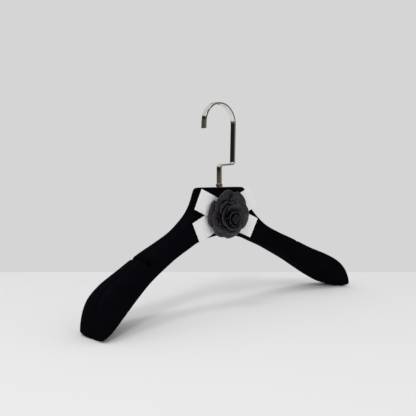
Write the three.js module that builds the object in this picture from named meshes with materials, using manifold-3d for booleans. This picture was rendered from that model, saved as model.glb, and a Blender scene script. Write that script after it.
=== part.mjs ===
// A sculpted display hanger for a clothes rail: two flocked half shells joined along a curved
// seam, a flat-bar hook that turns freely in a bush at the top, a crossed bow of flat folded
// ribbon and a leather rosette built petal by petal.
// Millimetres, +Z up. The origin is where the hook's crown rests on the rail, on the hook's
// axis. -Y is the front, where the bow and the rosette sit.

import * as THREE from 'three';
import { mergeVertices } from 'three/addons/utils/BufferGeometryUtils.js';
import Module from 'manifold-3d';

const wasm = await Module();
wasm.setup();

// ---- Driving dimensions -------------------------------------------------------------------

const GAP = 0.3; // between pieces that touch

// Body, measured down from its flat top
const PLATEAU_Z = -99.5; // flat top, below the rail
const BODY_HEIGHT = 141; // flat top to the tips
const HALF_LENGTH = 204.5; // stem axis to the end of a shoulder
const SWEEP_SPAN = 200; // distance that the three shape laws below are written for
const FLAT_TRIM = 0.4; // how much the top and the tips are flattened
const WALL = 2.2;

// Hook
const BAR_WIDTH = 7; // along Y
const BAR_THICKNESS = 2.2;
const CROWN_RADIUS = 24.4; // centreline
const JOG_LEAN = 1.2; // how far the upright leans in at the jog
const JOG_LOW_Z = -73.2; // where the bar leaves the stem axis
const JOG_HIGH_Z = -71.6; // where it turns up again
const JOG_RADIUS = 3.4; // centreline radius of both bends
const TIP_DROP = 6.6; // straight end of the hook below its semicircle
const TIP_FLARE = 1.3;
const BAR_FOOT_Z = -95.2;
const SHANK_RADIUS = 2.5;
const SHANK_CLEARANCE = 0.08; // running fit in the collar, bush and washer
const SHANK_END_Z = -129.5;

// Stack around the shank, from the top down
const COLLAR_RADIUS = 4;
const COLLAR_HEIGHT = 3.9;
const BUSH_RADIUS = 4.3;
const BUSH_LENGTH = 17;
const WASHER_THICKNESS = 1.2;
const NUT_HEIGHT = 5;
const NUT_RADIUS = 4.5; // across the corners

// Bow and rosette
const RIBBON_WIDTH = 26;
const RIBBON_LENGTH = 106;
const LOWER_TILT = 22; // degrees, rising to +X
const UPPER_TILT = -23;
const RIBBON_SHEET = 0.4; // one layer
const RIBBON_THICKNESS = 1.2; // two layers and the air between
const GLUE_THICKNESS = 0.8;
const GLUE_RADIUS = 8;
const BOW_CENTRE = { x: 0, z: PLATEAU_Z - 32 };
const FELT_RADIUS = 18;
const FELT_THICKNESS = 1.5;
const ROSETTE_CENTRE = { x: -4, z: PLATEAU_Z - 32 };
const PETAL_THICKNESS = 0.9;
const PETAL_LAP = 1.05; // how far one side of a petal rises over its neighbour

// ---- Materials ----------------------------------------------------------------------------

function finish(color, roughness, metalness = 0) {
  return new THREE.MeshStandardMaterial({ color, roughness, metalness });
}

const FLOCK = finish(0x0b0a0d, 1);
const NICKEL = finish(0x8d8a84, 0.16, 1);
const BRASS = finish(0xb08d4a, 0.35, 1);
const STEEL = finish(0x9a9a9c, 0.3, 1);
const NYLON = finish(0xd9d6cc, 0.55);
const RIBBON = finish(0xe9e9e7, 0.6);
const GLUE = finish(0xdcd8c4, 0.35);
const FELT = finish(0x1b1a1d, 1);
const LEATHER = finish(0x26252b, 0.5);

const hanger = new THREE.Group();

function addPart(name, geometry, material) {
  const mesh = new THREE.Mesh(geometry, material);
  mesh.name = name;
  hanger.add(mesh);
  return mesh;
}

// ---- Solids -------------------------------------------------------------------------------

function toSolid(geometry) {
  const bare = geometry.clone();
  bare.deleteAttribute('normal');
  bare.deleteAttribute('uv');
  const merged = mergeVertices(bare, 1e-4);
  return new wasm.Manifold(new wasm.Mesh({
    numProp: 3,
    vertProperties: new Float32Array(merged.attributes.position.array),
    triVerts: new Uint32Array(merged.index.array),
  }));
}

function toGeometry(solid) {
  const mesh = solid.getMesh();
  const geometry = new THREE.BufferGeometry();
  geometry.setAttribute('position', new THREE.BufferAttribute(mesh.vertProperties, 3));
  geometry.setIndex(new THREE.BufferAttribute(mesh.triVerts, 1));
  geometry.computeVertexNormals();
  return geometry;
}

// Rings of equally many points, each ring anticlockwise seen from the far end, capped flat.
function loft(rings, closedPath = false) {
  const count = rings[0].length;
  const positions = rings.flat().flatMap((p) => [p.x, p.y, p.z]);
  const index = [];
  const last = closedPath ? rings.length : rings.length - 1;
  for (let r = 0; r < last; r += 1) {
    const here = r * count;
    const there = ((r + 1) % rings.length) * count;
    for (let i = 0; i < count; i += 1) {
      const j = (i + 1) % count;
      index.push(here + i, here + j, there + j, here + i, there + j, there + i);
    }
  }
  if (!closedPath) {
    const end = (rings.length - 1) * count;
    for (let i = 1; i < count - 1; i += 1) {
      index.push(0, i + 1, i, end, end + i, end + i + 1);
    }
  }
  const geometry = new THREE.BufferGeometry();
  geometry.setAttribute('position', new THREE.Float32BufferAttribute(positions, 3));
  geometry.setIndex(index);
  geometry.computeVertexNormals();
  return geometry;
}

// A shape drawn in X and Z, from y = back down to y = front.
function prismAlongY(points, front, back) {
  const shape = new THREE.Shape(points.map(([x, z]) => new THREE.Vector2(x, z)));
  const geometry = new THREE.ExtrudeGeometry(shape, { depth: back - front, bevelEnabled: false });
  geometry.rotateX(Math.PI / 2);
  geometry.translate(0, back, 0);
  return geometry;
}

function cylinderAlongY(radius, x, z, front, back) {
  const geometry = new THREE.CylinderGeometry(radius, radius, back - front, 16);
  geometry.translate(x, (front + back) / 2, z);
  return toSolid(geometry);
}

function lathe(profile, segments = 32) {
  const geometry = new THREE.LatheGeometry(profile.map(([r, z]) => new THREE.Vector2(r, z)), segments);
  geometry.rotateX(Math.PI / 2);
  return geometry;
}

function ringAroundStem(inner, outer, bottom, top, segments = 32) {
  const profile = [[inner, bottom], [outer, bottom], [outer, top], [inner, top], [inner, bottom]];
  return lathe(profile, segments);
}

// ---- Body shape ---------------------------------------------------------------------------

// Heights are below the flat top; x is the distance from the stem axis.
const TOP_EDGE = [
  [0, 0.5], [30, 0.2], [36.4, -0.4], [38, -2.6], [39.4, -6.4], [41.6, -12.4], [45.5, -20.6],
  [51.5, -29.3], [60, -37.6], [75, -49], [95, -58.6], [121, -68.9], [151, -82.9], [176, -93.4],
  [189, -101], [196.5, -109.3], [201.3, -119.6], [203.8, -129.6], [HALF_LENGTH, -135],
];
const BOTTOM_EDGE = [
  [0, -57.8], [20, -59.5], [42, -64.2], [60, -71], [80, -78.8], [101, -89], [126, -102.2],
  [151, -117], [171, -129], [184, -136], [192, -139], [198, -140.7], [201, -BODY_HEIGHT],
  [203.6, -140.4], [HALF_LENGTH, -138.4],
];

// Monotone cubic through the listed points.
function along(points, x) {
  let i = 0;
  while (i < points.length - 2 && x > points[i + 1][0]) i += 1;
  const slope = (k) => (points[k + 1][1] - points[k][1]) / (points[k + 1][0] - points[k][0]);
  const tangent = (k) => {
    if (k === 0) return 0;
    if (k === points.length - 1) return slope(k - 1);
    const a = slope(k - 1);
    const b = slope(k);
    return a * b <= 0 ? 0 : (2 * a * b) / (a + b);
  };
  const [x0, y0] = points[i];
  const [x1, y1] = points[i + 1];
  const h = x1 - x0;
  const t = Math.min(1, Math.max(0, (x - x0) / h));
  const t2 = t * t;
  const t3 = t2 * t;
  return (2 * t3 - 3 * t2 + 1) * y0 + (t3 - 2 * t2 + t) * h * tangent(i)
    + (-2 * t3 + 3 * t2) * y1 + (t3 - t2) * h * tangent(i + 1);
}

// The arms sweep forward, and thicken towards the shoulders.
function centreY(x) {
  const u = x / SWEEP_SPAN;
  return -14.3 * u ** 2 - 16.2 * u ** 4;
}

function halfThickness(x) {
  const u = Math.abs(x) / SWEEP_SPAN;
  const rounding = Math.sqrt(Math.max(0, 1 - Math.max(0, (Math.abs(x) - 187.5) / 28) ** 2.2));
  return (7 + 35 * u ** 2 - 16.8 * u ** 4) * rounding;
}

function frontY(x) {
  return centreY(x) - halfThickness(x);
}

// A section is a superellipse: square-edged at the neck, rounder at the shoulders.
function section(x, inset, sides) {
  const distance = Math.abs(x);
  const top = along(TOP_EDGE, distance) + PLATEAU_Z - inset;
  const bottom = along(BOTTOM_EDGE, distance) + PLATEAU_Z + inset;
  const half = Math.max(0.2, (top - bottom) / 2);
  const thick = Math.max(0.2, halfThickness(x) - inset);
  const power = 2 / THREE.MathUtils.lerp(7, 3, THREE.MathUtils.smoothstep(distance, 35, 130));
  const ring = [];
  for (let i = 0; i < sides; i += 1) {
    const angle = (2 * Math.PI * (i + 0.5)) / sides;
    const c = Math.cos(angle);
    const s = Math.sin(angle);
    ring.push(new THREE.Vector3(
      x,
      centreY(x) + thick * Math.sign(c) * Math.abs(c) ** power,
      (top + bottom) / 2 + half * Math.sign(s) * Math.abs(s) ** power,
    ));
  }
  return ring;
}

const STATIONS = [
  0, 18, 32, 36, 37.6, 39, 41, 44, 48, 53, 60, 68, 78, 90, 104, 118, 132, 146, 160, 172, 182, 189,
  194, 198, 201, 203.2, HALF_LENGTH,
];

function bodySolid(inset, sides) {
  const reach = STATIONS.filter((x) => x < HALF_LENGTH - 1.6 * inset || inset === 0);
  const xs = [...reach.slice(1).reverse().map((x) => -x), ...reach];
  return toSolid(loft(xs.map((x) => section(x, inset, sides))));
}

// ---- Strap notches ------------------------------------------------------------------------

const NOTCH = { x: 127, depth: 11.2, inner: 2, outer: 4.6 };

// Across the arm and down from its top edge: a J with a rounded nose on the hook's side.
function notchOutline() {
  const { x, depth, inner, outer: wide } = NOTCH;
  const mouth = along(TOP_EDGE, x) + PLATEAU_Z;
  const points = [
    [x + wide + 3.5, mouth + 7], [x + wide + 1, mouth - 1.8], [x + wide, mouth - 4],
    [x + wide, mouth - depth + 3.2], [x + wide - 1.2, mouth - depth + 0.8],
    [x + wide - 3.4, mouth - depth], [x - inner, mouth - depth + 1.4],
    [x - inner - 0.4, mouth - depth + 3.2], [x - inner + 1.2, mouth - 4.6],
    [x - inner + 0.6, mouth - 1.6], [x - inner - 1.6, mouth + 0.8], [x - inner - 4, mouth + 7],
  ];
  return points;
}

function notchSolid(side) {
  const outline = notchOutline().map(([x, z]) => [side * x, z]);
  return toSolid(prismAlongY(side > 0 ? outline.reverse() : outline, -90, 40));
}

// ---- Shells -------------------------------------------------------------------------------

const SEAM_STEPS = 40;

// Everything in front of the seam surface, moved by a small offset.
function frontRegion(offset) {
  const shape = new THREE.Shape();
  shape.moveTo(-230, -160);
  shape.lineTo(230, -160);
  for (let i = SEAM_STEPS; i >= 0; i -= 1) {
    const x = -230 + (460 * i) / SEAM_STEPS;
    shape.lineTo(x, centreY(x) + offset);
  }
  const geometry = new THREE.ExtrudeGeometry(shape, { depth: 300, bevelEnabled: false });
  geometry.translate(0, 0, -280);
  return toSolid(geometry);
}

function box(x0, x1, y0, y1, z0, z1) {
  const geometry = new THREE.BoxGeometry(x1 - x0, y1 - y0, z1 - z0);
  geometry.translate((x0 + x1) / 2, (y0 + y1) / 2, (z0 + z1) / 2);
  return toSolid(geometry);
}

// Locating pins on the front shell fit sockets on the back shell.
const PINS = [
  { x: 26, drop: -44 }, { x: 70, drop: -60 }, { x: 104, drop: -77 }, { x: 160, drop: -104 },
];
const PIN_RADIUS = 2;
const BOSS_RADIUS = 3.6;
const PIN_REACH = 3.4;

const boss = { halfWidth: 9, bottom: PLATEAU_Z - BUSH_LENGTH - 1 };
const outer = bodySolid(0, 26);
const bossBlock = box(-boss.halfWidth, boss.halfWidth, -20, 20, boss.bottom, PLATEAU_Z + 5);
const hollow = bodySolid(WALL, 14).subtract(bossBlock);
const bushHole = toSolid(lathe([
  [0, boss.bottom - 2], [BUSH_RADIUS + GAP, boss.bottom - 2], [BUSH_RADIUS + GAP, PLATEAU_Z + 6],
  [0, PLATEAU_Z + 6],
]));
const trimmed = outer
  .intersect(box(-300, 300, -200, 200, PLATEAU_Z - BODY_HEIGHT + FLAT_TRIM, PLATEAU_Z))
  .subtract(notchSolid(1))
  .subtract(notchSolid(-1));

// The notch gets its own floor inside the hollow, so it never opens into it.
function notchFloor(side) {
  const { x, depth, inner, outer: wide } = NOTCH;
  const mouth = along(TOP_EDGE, x) + PLATEAU_Z;
  const near = side * (x - inner - WALL);
  const far = side * (x + wide + WALL);
  const low = mouth - depth - WALL;
  return box(Math.min(near, far), Math.max(near, far), -90, 40, low, mouth + 8);
}

const cavity = hollow.subtract(notchFloor(1)).subtract(notchFloor(-1));
const shell = trimmed.subtract(cavity).subtract(bushHole);
let frontShell = shell.intersect(frontRegion(-GAP / 2));
let backShell = shell.subtract(frontRegion(GAP / 2));
for (const { x: distance, drop } of PINS) {
  for (const side of [-1, 1]) {
    const x = side * distance;
    const z = PLATEAU_Z + drop;
    const seam = centreY(x);
    const reach = halfThickness(x) - WALL / 2;
    const frontBoss = cylinderAlongY(BOSS_RADIUS, x, z, seam - reach, seam - 3 * GAP);
    const pin = cylinderAlongY(PIN_RADIUS, x, z, seam - reach, seam + PIN_REACH);
    const backBoss = cylinderAlongY(BOSS_RADIUS, x, z, seam + 2 * GAP, seam + reach);
    const socket = cylinderAlongY(PIN_RADIUS + GAP, x, z, seam - 2, seam + PIN_REACH + 2 * GAP);
    frontShell = frontShell.add(frontBoss).add(pin);
    backShell = backShell.add(backBoss).subtract(socket);
  }
}
addPart('front_shell', toGeometry(frontShell), FLOCK);
addPart('back_shell', toGeometry(backShell), FLOCK);

// ---- Hook ---------------------------------------------------------------------------------

// Corners of the bar's centreline; each inner corner is rounded.
function hookCentreline() {
  const points = [];
  const right = CROWN_RADIUS;
  const crownZ = BAR_THICKNESS / 2 - CROWN_RADIUS;
  const corners = [
    new THREE.Vector2(0, BAR_FOOT_Z),
    new THREE.Vector2(0, JOG_LOW_Z),
    new THREE.Vector2(right - JOG_LEAN, JOG_HIGH_Z),
    new THREE.Vector2(right, crownZ),
  ];
  points.push(corners[0]);
  for (let i = 1; i < corners.length - 1; i += 1) {
    const into = corners[i].clone().sub(corners[i - 1]).normalize();
    const out = corners[i + 1].clone().sub(corners[i]).normalize();
    const turn = Math.acos(into.dot(out));
    const setback = JOG_RADIUS * Math.tan(turn / 2);
    const start = corners[i].clone().addScaledVector(into, -setback);
    const end = corners[i].clone().addScaledVector(out, setback);
    const curve = new THREE.QuadraticBezierCurve(start, corners[i], end);
    points.push(...curve.getPoints(7));
  }
  for (let i = 0; i <= 28; i += 1) {
    const angle = (Math.PI * i) / 28;
    points.push(new THREE.Vector2(right * Math.cos(angle), crownZ + right * Math.sin(angle)));
  }
  points.push(new THREE.Vector2(-right - TIP_FLARE, crownZ - TIP_DROP));
  return points;
}

function barOutline(points) {
  const left = [];
  const right = [];
  points.forEach((point, i) => {
    const before = points[Math.max(0, i - 1)];
    const after = points[Math.min(points.length - 1, i + 1)];
    const along2 = after.clone().sub(before).normalize();
    const normal = new THREE.Vector2(-along2.y, along2.x).multiplyScalar(BAR_THICKNESS / 2);
    left.push(point.clone().add(normal));
    right.push(point.clone().sub(normal));
  });
  return [...right, ...left.reverse()].map((p) => [p.x, p.y]);
}

const bar = toSolid(prismAlongY(barOutline(hookCentreline()), -BAR_WIDTH / 2, BAR_WIDTH / 2));
const shank = toSolid(lathe([
  [0, SHANK_END_Z], [SHANK_RADIUS - 0.5, SHANK_END_Z], [SHANK_RADIUS, SHANK_END_Z + 0.5],
  [SHANK_RADIUS, BAR_FOOT_Z + 0.2], [0, BAR_FOOT_Z + 0.2],
]));
addPart('hook', toGeometry(bar.add(shank)), NICKEL);

// ---- Swivel -------------------------------------------------------------------------------

const boreRadius = SHANK_RADIUS + SHANK_CLEARANCE;
const collarFoot = PLATEAU_Z + GAP;
addPart('hook_collar', lathe([
  [boreRadius, collarFoot], [COLLAR_RADIUS, collarFoot],
  [COLLAR_RADIUS, collarFoot + COLLAR_HEIGHT - 0.7],
  [COLLAR_RADIUS - 0.7, collarFoot + COLLAR_HEIGHT], [boreRadius, collarFoot + COLLAR_HEIGHT],
  [boreRadius, collarFoot],
]), NICKEL);

const bushTop = PLATEAU_Z - GAP;
const bushFoot = bushTop - BUSH_LENGTH;
addPart('swivel_bush', ringAroundStem(boreRadius, BUSH_RADIUS, bushFoot, bushTop), BRASS);

const washerTop = bushFoot - GAP;
const washerFoot = washerTop - WASHER_THICKNESS;
addPart('thrust_washer', ringAroundStem(boreRadius, BUSH_RADIUS, washerFoot, washerTop), NYLON);

const nutTop = washerFoot - GAP;
const nutFoot = nutTop - NUT_HEIGHT;
const nutHexagon = lathe([[0, nutFoot], [NUT_RADIUS, nutFoot], [NUT_RADIUS, nutTop], [0, nutTop]], 6);
const nutBore = lathe([
  [0, nutFoot - 1], [SHANK_RADIUS + GAP, nutFoot - 1], [SHANK_RADIUS + GAP, nutTop + 1],
  [0, nutTop + 1],
]);
addPart('shank_nut', toGeometry(toSolid(nutHexagon).subtract(toSolid(nutBore))), STEEL);

// ---- Bow ----------------------------------------------------------------------------------

// Depths in front of the body's front surface, each piece on the one behind it.
const lowerGlueDepth = GAP;
const lowerRibbonDepth = lowerGlueDepth + GLUE_THICKNESS + GAP;
const upperRibbonDepth = lowerRibbonDepth + RIBBON_THICKNESS + GAP;
const upperGlueDepth = upperRibbonDepth + RIBBON_THICKNESS + GAP;
const feltDepth = upperGlueDepth + GLUE_THICKNESS + GAP;
const petalDepth = feltDepth + FELT_THICKNESS + GAP;

function disc(radius, centre, depth, thickness) {
  const geometry = new THREE.CylinderGeometry(radius, radius, thickness, 32);
  geometry.translate(centre.x, frontY(0) - depth - thickness / 2, centre.z);
  return geometry;
}

// A flat loop: a band that runs out along the front layer and back along the rear one.
function ribbonLoop(angle, depth) {
  const steps = 16;
  const turn = 4;
  const fold = RIBBON_THICKNESS / 2;
  const straight = RIBBON_LENGTH / 2 - fold;
  const path = [];
  for (let i = 0; i <= steps; i += 1) {
    path.push([-straight + (2 * straight * i) / steps, 0, 1]);
  }
  for (let i = 1; i < turn; i += 1) {
    const a = (Math.PI * i) / turn;
    path.push([straight + fold * Math.sin(a), Math.sin(a), Math.cos(a)]);
  }
  for (let i = 0; i <= steps; i += 1) {
    path.push([straight - (2 * straight * i) / steps, 0, -1]);
  }
  for (let i = 1; i < turn; i += 1) {
    const a = (Math.PI * i) / turn;
    path.push([-straight - fold * Math.sin(a), -Math.sin(a), -Math.cos(a)]);
  }
  // Each station: distance along the strip, and the outward direction of the band there.
  const rings = path.map(([s, outAlong, outFront]) => {
    const corner = (across, layer) => {
      const shift = layer ? 0 : -RIBBON_SHEET;
      const distance = s + outAlong * shift;
      const x = BOW_CENTRE.x + distance * Math.cos(angle) - across * Math.sin(angle);
      const z = BOW_CENTRE.z + distance * Math.sin(angle) + across * Math.cos(angle);
      const y = frontY(x) - depth - fold - outFront * (fold + shift);
      return new THREE.Vector3(x, y, z);
    };
    const half = RIBBON_WIDTH / 2;
    return [corner(-half, true), corner(-half, false), corner(half, false), corner(half, true)];
  });
  return loft(rings, true);
}

addPart('ribbon_glue_pad', disc(GLUE_RADIUS, BOW_CENTRE, lowerGlueDepth, GLUE_THICKNESS), GLUE);
addPart('ribbon_lower', ribbonLoop(THREE.MathUtils.degToRad(LOWER_TILT), lowerRibbonDepth), RIBBON);
addPart('ribbon_upper', ribbonLoop(THREE.MathUtils.degToRad(UPPER_TILT), upperRibbonDepth), RIBBON);
addPart('rosette_glue_pad', disc(GLUE_RADIUS, ROSETTE_CENTRE, upperGlueDepth, GLUE_THICKNESS), GLUE);

// ---- Rosette ------------------------------------------------------------------------------

addPart('felt_disc', disc(FELT_RADIUS, ROSETTE_CENTRE, feltDepth, FELT_THICKNESS), FELT);

// Radius, angle and height over the felt, turned into the hanger's frame. The drop is how far
// below the rosette's centre the ring sits.
function rosettePoint(radius, angle, height, drop) {
  return new THREE.Vector3(
    ROSETTE_CENTRE.x + radius * Math.cos(angle),
    frontY(0) - petalDepth - height,
    ROSETTE_CENTRE.z - drop + radius * Math.sin(angle),
  );
}

// A cupped petal. Its sides lap: one side edge lies over the neighbour, the other under it.
function petal({ root, tip, low, high, drop, spread, heading }) {
  const rows = 6;
  const columns = 8;
  const front = [];
  const back = [];
  for (let r = 0; r <= rows; r += 1) {
    const v = r / rows;
    const width = spread * (0.72 + 0.28 * Math.sin(Math.PI * Math.min(1, 0.2 + v)));
    for (let c = 0; c <= columns; c += 1) {
      const u = (2 * c) / columns - 1;
      const shoulder = 1 - 0.16 * v * Math.abs(u) ** 2.5;
      const radius = (root + (tip - root) * v) * shoulder;
      const height = low + (high - low) * v ** 1.5 + PETAL_LAP * u;
      const angle = heading + (width / 2) * u;
      front.push(rosettePoint(radius, angle, height + PETAL_THICKNESS, drop));
      back.push(rosettePoint(radius, angle, height, drop));
    }
  }
  const stride = columns + 1;
  const size = front.length;
  const index = [];
  for (let r = 0; r < rows; r += 1) {
    for (let c = 0; c < columns; c += 1) {
      const a = r * stride + c;
      const b = a + 1;
      const d = a + stride;
      const e = d + 1;
      index.push(a, d, e, a, e, b);
      index.push(size + a, size + e, size + d, size + a, size + b, size + e);
    }
  }
  const rim = [];
  for (let c = 0; c < columns; c += 1) rim.push(c);
  for (let r = 0; r < rows; r += 1) rim.push(r * stride + columns);
  for (let c = columns; c > 0; c -= 1) rim.push(rows * stride + c);
  for (let r = rows; r > 0; r -= 1) rim.push(r * stride);
  rim.forEach((a, i) => {
    const b = rim[(i + 1) % rim.length];
    index.push(a, b, size + b, a, size + b, size + a);
  });
  const positions = [...front, ...back].flatMap((p) => [p.x, p.y, p.z]);
  const geometry = new THREE.BufferGeometry();
  geometry.setAttribute('position', new THREE.Float32BufferAttribute(positions, 3));
  geometry.setIndex(index);
  geometry.computeVertexNormals();
  return geometry;
}

const PETAL_RINGS = [
  { name: 'outer_petal', count: 6, root: 7.6, tip: 30, low: 1.3, high: 7.6, turn: -0.07, drop: 0 },
  { name: 'middle_petal', count: 5, root: 6, tip: 21.5, low: 4.8, high: 11.8, turn: 1, drop: 2 },
  { name: 'inner_petal', count: 4, root: 4.2, tip: 14, low: 8.2, high: 13.6, turn: 1.4, drop: 4.2 },
];
for (const { name, count, root, tip, low, high, turn, drop } of PETAL_RINGS) {
  for (let i = 0; i < count; i += 1) {
    const spread = (2.5 * Math.PI) / count;
    const heading = turn + (2 * Math.PI * i) / count;
    addPart(`${name}_${i + 1}`, petal({ root, tip, low, high, drop, spread, heading }), LEATHER);
  }
}

// The bud: a rolled core and two petals wrapped round it.
const BUD = { stemRadius: 2.7, radius: 4, shoulder: 10.6, height: 14.8, drop: 4.2 };
const budCore = new THREE.LatheGeometry([
  [0, 0], [BUD.stemRadius, 0], [BUD.stemRadius, BUD.shoulder], [BUD.radius, BUD.shoulder + 1.6],
  [BUD.radius - 0.3, BUD.height - 0.8], [BUD.radius - 1.4, BUD.height], [0, BUD.height - 0.6],
].map(([r, h]) => new THREE.Vector2(r, h)), 20);
budCore.rotateX(Math.PI);
budCore.translate(ROSETTE_CENTRE.x, frontY(0) - petalDepth, ROSETTE_CENTRE.z - BUD.drop);
addPart('bud_core', budCore, LEATHER);

// A wrap is a curved wall, one end nearer the core than the other, so the two interleave.
function budWrap(heading) {
  const steps = 12;
  const sweep = 1.16 * Math.PI;
  const rings = [];
  for (let i = 0; i <= steps; i += 1) {
    const t = i / steps;
    const angle = heading + sweep * t;
    const inner = BUD.radius + GAP + 1.5 * t;
    const fall = 1.4 * (2 * t - 1) ** 4;
    const foot = BUD.shoulder + 2.3;
    rings.push([
      rosettePoint(inner, angle, foot, BUD.drop),
      rosettePoint(inner, angle, BUD.height + 0.5 - fall, BUD.drop),
      rosettePoint(inner + PETAL_THICKNESS, angle, BUD.height + 0.5 - fall, BUD.drop),
      rosettePoint(inner + PETAL_THICKNESS, angle, foot, BUD.drop),
    ]);
  }
  return loft(rings);
}

addPart('bud_wrap_1', budWrap(0.4), LEATHER);
addPart('bud_wrap_2', budWrap(0.4 + Math.PI), LEATHER);

export default hanger;
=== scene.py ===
# A sculpted display hanger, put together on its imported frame: two flocked half shells, a flat-bar
# hook that turns in a bush, a crossed bow of folded ribbon and a leather rosette.
# Sizes are in millimetres until a mesh is made, which is where they become metres.
import math
import random

import bpy
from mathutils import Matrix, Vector


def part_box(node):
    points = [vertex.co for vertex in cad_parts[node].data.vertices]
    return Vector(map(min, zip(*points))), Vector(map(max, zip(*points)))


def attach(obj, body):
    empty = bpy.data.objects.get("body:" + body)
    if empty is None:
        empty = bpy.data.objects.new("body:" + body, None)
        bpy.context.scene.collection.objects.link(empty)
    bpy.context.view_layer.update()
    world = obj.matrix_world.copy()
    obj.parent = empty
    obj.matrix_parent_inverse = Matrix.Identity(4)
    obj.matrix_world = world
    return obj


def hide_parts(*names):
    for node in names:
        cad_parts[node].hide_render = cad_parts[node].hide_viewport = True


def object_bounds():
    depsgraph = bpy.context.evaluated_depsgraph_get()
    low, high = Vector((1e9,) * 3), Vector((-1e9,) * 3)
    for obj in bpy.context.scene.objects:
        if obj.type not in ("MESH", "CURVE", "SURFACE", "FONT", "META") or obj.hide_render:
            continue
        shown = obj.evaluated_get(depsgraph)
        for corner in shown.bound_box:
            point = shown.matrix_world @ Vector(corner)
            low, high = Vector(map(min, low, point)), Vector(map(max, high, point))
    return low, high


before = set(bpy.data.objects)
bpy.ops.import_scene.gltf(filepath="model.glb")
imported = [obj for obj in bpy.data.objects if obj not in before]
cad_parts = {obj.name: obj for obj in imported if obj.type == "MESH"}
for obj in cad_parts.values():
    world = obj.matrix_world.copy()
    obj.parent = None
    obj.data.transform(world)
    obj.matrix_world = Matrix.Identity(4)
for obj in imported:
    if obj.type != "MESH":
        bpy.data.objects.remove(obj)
cad_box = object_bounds()


# ==== Studio =================================================================================
# Pale paper floor that meets a light grey wall behind the hanger, an even room light, a soft
# lamp high on the camera's side and a second one overhead. None of it belongs to the hanger.

MM = 0.001
scene = bpy.context.scene
scene.view_settings.view_transform = "Standard"

CAMERA_PLACE = (-514.4, -508.6, -83.7)
CAMERA_TURN = math.radians(44.25)  # from straight ahead towards the hanger's left side
CAMERA_DIP = math.radians(3.25)
CAMERA_LENS = 51.72
WALL_GREY = 0.665
WALL_BEHIND = 227  # from the hook's axis to the foot of the wall, along the camera's line
FLOOR_WHITE = 0.9
LAMP_AIM = Vector((0, 0, -0.19))


def add_node(tree, kind, inputs=None, **settings):
    """A node with its settings made, and each input given a value or joined to a socket."""
    node = tree.nodes.new(kind)
    for name, value in settings.items():
        setattr(node, name, value)
    for name, value in (inputs or {}).items():
        if isinstance(value, bpy.types.NodeSocket):
            tree.links.new(value, node.inputs[name])
        else:
            node.inputs[name].default_value = value
    return node


def new_finish(name, values):
    """A material and its surface shader, with the shader's constants on its own sockets."""
    material = bpy.data.materials.new(name)
    material.use_nodes = True
    shader = material.node_tree.nodes["Principled BSDF"]
    for socket, value in values.items():
        shader.inputs[socket].default_value = value
    return material, material.node_tree, shader


def ramp(tree, factor, stops):
    """A colour ramp through (place, colour) stops; returns its colour socket."""
    node = add_node(tree, "ShaderNodeValToRGB", {"Fac": factor})
    elements = node.color_ramp.elements
    while len(elements) < len(stops):
        elements.new(0.5)
    for element, (place, colour) in zip(elements, stops):
        element.position = place
        element.color = (*colour, 1)
    return node.outputs["Color"]


camera = bpy.data.objects.new("studio_camera", bpy.data.cameras.new("studio_camera"))
camera.data.lens = CAMERA_LENS
camera.location = Vector(CAMERA_PLACE) * MM
camera.rotation_euler = (math.pi / 2 - CAMERA_DIP, 0, -CAMERA_TURN)
scene.collection.objects.link(camera)
scene.camera = camera
camera_line = Vector((math.sin(CAMERA_TURN), math.cos(CAMERA_TURN), 0))

floor_level = cad_box[0].z
FLOOR_REACH = 4
floor_mesh = bpy.data.meshes.new("paper_floor")
floor_mesh.from_pydata(
    [(x * FLOOR_REACH, y * FLOOR_REACH, floor_level) for x, y in ((-1, -1), (1, -1), (1, 1), (-1, 1))],
    [], [(0, 1, 2, 3)])
floor = bpy.data.objects.new("paper_floor", floor_mesh)
scene.collection.objects.link(floor)
paper, tree, shader = new_finish("floor_paper", {"Roughness": 0.9, "Specular IOR Level": 0.1})
coords = add_node(tree, "ShaderNodeTexCoord").outputs["Object"]
grain = add_node(tree, "ShaderNodeTexNoise", {"Vector": coords, "Scale": 6.0, "Detail": 4.0})
paper_colour = ramp(tree, grain.outputs["Fac"],
                    [(0.3, (FLOOR_WHITE,) * 3), (0.7, (FLOOR_WHITE * 1.01,) * 3)])
tree.links.new(paper_colour, shader.inputs["Base Color"])
depth = add_node(tree, "ShaderNodeVectorMath", {0: coords, 1: camera_line}, operation="DOT_PRODUCT")
wall_side = add_node(tree, "ShaderNodeMapRange", {
    "Value": depth.outputs["Value"], "From Min": (WALL_BEHIND - 3) * MM, "From Max": WALL_BEHIND * MM})
wall_glow = add_node(tree, "ShaderNodeEmission", {"Color": (WALL_GREY,) * 3 + (1,), "Strength": 1.0})
mixed = add_node(tree, "ShaderNodeMixShader", {
    0: wall_side.outputs["Result"], 1: shader.outputs["BSDF"], 2: wall_glow.outputs["Emission"]})
tree.links.new(mixed.outputs["Shader"], tree.nodes["Material Output"].inputs["Surface"])
floor_mesh.materials.append(paper)

world = bpy.data.worlds.new("studio_room")
world.use_nodes = True
world.node_tree.nodes["Background"].inputs["Color"].default_value = (WALL_GREY,) * 3 + (1,)
scene.world = world


def add_lamp(name, toward, elevation, distance, size, power):
    """A square soft lamp that looks at the hanger; toward is its bearing from it, in degrees."""
    lamp = bpy.data.lights.new(name, "AREA")
    lamp.size = size
    lamp.energy = power
    bearing = math.radians(toward)
    rise = math.radians(elevation)
    level = math.cos(rise)
    away = Vector((math.sin(bearing) * level, math.cos(bearing) * level, math.sin(rise)))
    holder = bpy.data.objects.new(name, lamp)
    holder.location = LAMP_AIM + away * distance
    holder.rotation_euler = away.to_track_quat("Z", "Y").to_euler()
    scene.collection.objects.link(holder)


add_lamp("key_lamp", toward=-128, elevation=44, distance=1.6, size=0.3, power=4.1)
add_lamp("overhead_lamp", toward=-60, elevation=78, distance=1.5, size=0.35, power=2.6)

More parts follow.
